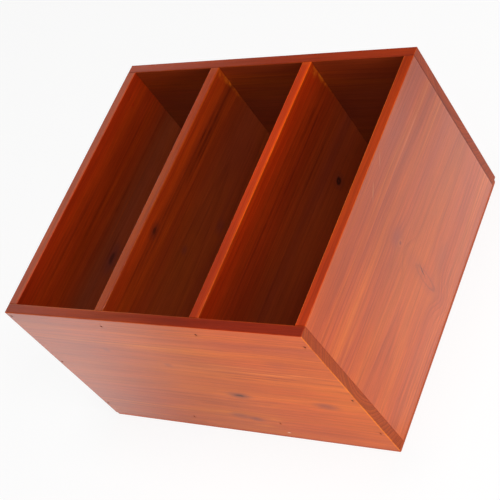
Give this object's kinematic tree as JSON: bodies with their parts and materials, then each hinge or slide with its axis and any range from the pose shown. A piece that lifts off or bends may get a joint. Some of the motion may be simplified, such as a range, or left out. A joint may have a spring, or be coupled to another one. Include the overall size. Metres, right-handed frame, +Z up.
{
  "type": "umbrella stand",
  "caption": "Low open-topped wooden box with fixed parallel dividers, for standing umbrellas or other long things in separate slots; stained softwood boards, butt-jointed and nailed.",
  "frame": {"origin": "middle of the underside of the box, on the surface that it stands on", "axes": "+Z up out of the open mouth, +X to the right and -Y out of the front panel, as seen by someone facing the front; the front and back panels run along X, the side panels and dividers along Y"},
  "size_m": [0.4, 0.358, 0.232],
  "materials": {
    "panel_wood": "reddish-brown stain under a satin varnish, knotty softwood, grain along X",
    "side_wood": "reddish-brown stain under a satin varnish, knotty softwood, grain along Y",
    "divider_wood": "reddish-brown stain under a satin varnish, knotty softwood, grain along Y",
    "sheet_wood": "stained thin plywood, satin",
    "brad_steel": "dull wire nail, darkened by the stain"
  },
  "bodies": {
    "root": {"back_brad_left_bottom": "brad_steel", "back_brad_left_divider_bottom": "brad_steel", "back_brad_left_divider_top": "brad_steel", "back_brad_left_middle": "brad_steel", "back_brad_left_top": "brad_steel", "back_brad_right_bottom": "brad_steel", "back_brad_right_divider_bottom": "brad_steel", "back_brad_right_divider_top": "brad_steel", "back_brad_right_middle": "brad_steel", "back_brad_right_top": "brad_steel", "back_panel": "panel_wood", "bottom_brad_back_left": "brad_steel", "bottom_brad_back_middle": "brad_steel", "bottom_brad_back_right": "brad_steel", "bottom_brad_divider_left_back": "brad_steel", "bottom_brad_divider_left_front": "brad_steel", "bottom_brad_divider_right_back": "brad_steel", "bottom_brad_divider_right_front": "brad_steel", "bottom_brad_front_left": "brad_steel", "bottom_brad_front_middle": "brad_steel", "bottom_brad_front_right": "brad_steel", "bottom_brad_side_left_back": "brad_steel", "bottom_brad_side_left_front": "brad_steel", "bottom_brad_side_left_middle": "brad_steel", "bottom_brad_side_right_back": "brad_steel", "bottom_brad_side_right_front": "brad_steel", "bottom_brad_side_right_middle": "brad_steel", "bottom_sheet": "sheet_wood", "front_brad_left_bottom": "brad_steel", "front_brad_left_divider_bottom": "brad_steel", "front_brad_left_divider_top": "brad_steel", "front_brad_left_middle": "brad_steel", "front_brad_left_top": "brad_steel", "front_brad_right_bottom": "brad_steel", "front_brad_right_divider_bottom": "brad_steel", "front_brad_right_divider_top": "brad_steel", "front_brad_right_middle": "brad_steel", "front_brad_right_top": "brad_steel", "front_panel": "panel_wood", "left_divider": "divider_wood", "left_side_panel": "side_wood", "right_divider": "divider_wood", "right_side_panel": "side_wood"}
  },
  "joints": []
}
